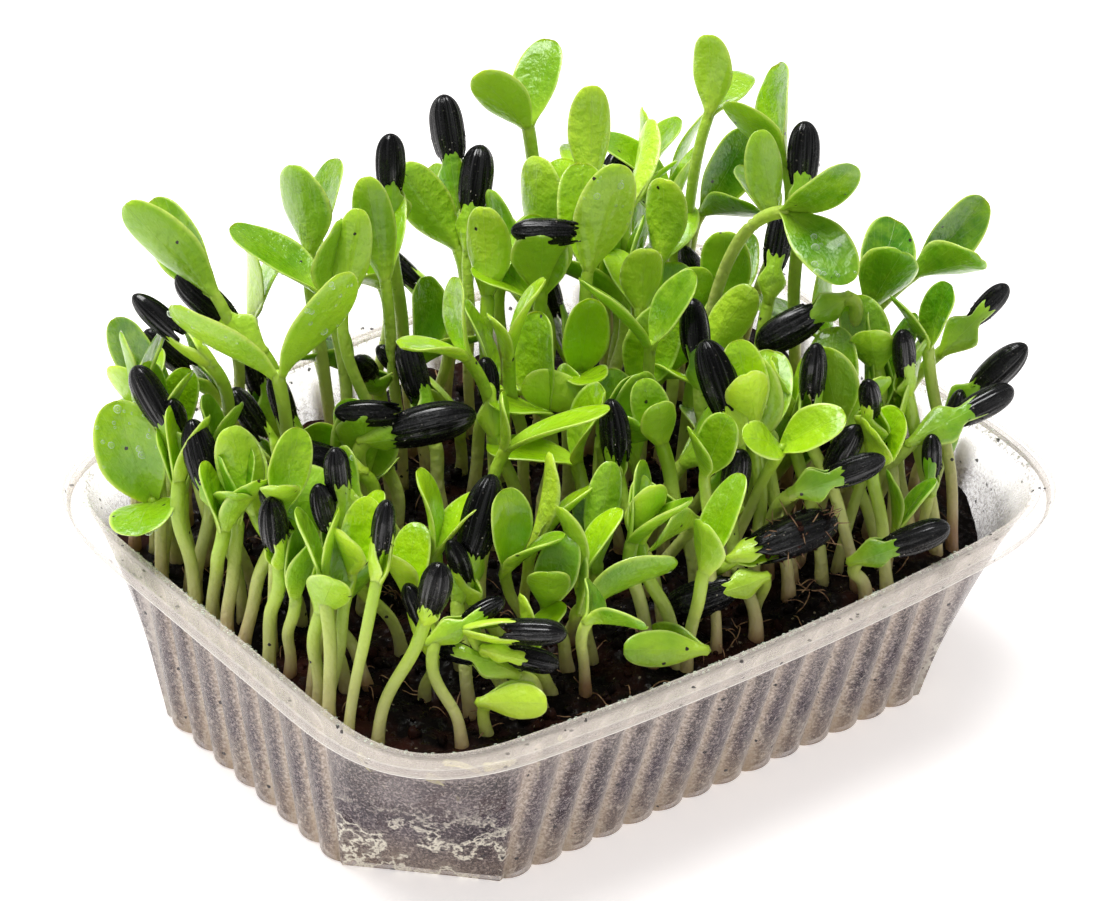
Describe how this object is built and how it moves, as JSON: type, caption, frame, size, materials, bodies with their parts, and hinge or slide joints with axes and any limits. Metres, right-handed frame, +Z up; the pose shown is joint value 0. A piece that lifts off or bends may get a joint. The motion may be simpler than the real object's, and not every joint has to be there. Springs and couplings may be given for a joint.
{
  "type": "sunflower microgreens tray",
  "caption": "Ribbed clear plastic tray of dark soil with a dense stand of sunflower microgreens, some still wearing their black seed hulls.",
  "frame": {"origin": "centre of the tray's flat base, on the surface it stands on", "axes": "+Z up, +X along the tray's long side, +Y along its short side; the soil has sunk at the +X, -Y corner"},
  "size_m": [0.1834, 0.1446, 0.1177],
  "materials": {
    "tray_plastic": "frosted clear polypropylene, ribbed, fine scratches and droplets",
    "soil": "damp crumbly peat",
    "sprout": "fleshy green leaf and pale stem, satin with a waxy sheen",
    "hull": "black ridged seed hull, satin, with lighter streaks"
  },
  "bodies": {
    "root": {"hull_07": "hull", "hull_08": "hull", "hull_09": "hull", "hull_10": "hull", "hull_14": "hull", "hull_16": "hull", "hull_17": "hull", "hull_21": "hull", "hull_23": "hull", "hull_24": "hull", "hull_25": "hull", "hull_26": "hull", "hull_29": "hull", "hull_30": "hull", "hull_38": "hull", "hull_39": "hull", "soil": "soil", "sprout_01": "sprout", "sprout_02": "sprout", "sprout_03": "sprout", "sprout_04": "sprout", "sprout_05": "sprout", "sprout_06": "sprout", "sprout_07": "sprout", "sprout_08": "sprout", "sprout_09": "sprout", "sprout_10": "sprout", "sprout_11": "sprout", "sprout_12": "sprout", "sprout_13": "sprout", "sprout_14": "sprout", "sprout_15": "sprout", "sprout_16": "sprout", "sprout_17": "sprout", "sprout_18": "sprout", "sprout_19": "sprout", "sprout_20": "sprout", "sprout_21": "sprout", "sprout_22": "sprout", "sprout_23": "sprout", "sprout_24": "sprout", "sprout_25": "sprout", "sprout_26": "sprout", "sprout_27": "sprout", "sprout_28": "sprout", "sprout_29": "sprout", "sprout_30": "sprout", "sprout_31": "sprout", "sprout_32": "sprout", "sprout_33": "sprout", "sprout_34": "sprout", "sprout_35": "sprout", "sprout_36": "sprout", "sprout_37": "sprout", "sprout_38": "sprout", "sprout_39": "sprout", "sprout_40": "sprout", "tray": "tray_plastic"}
  },
  "joints": []
}
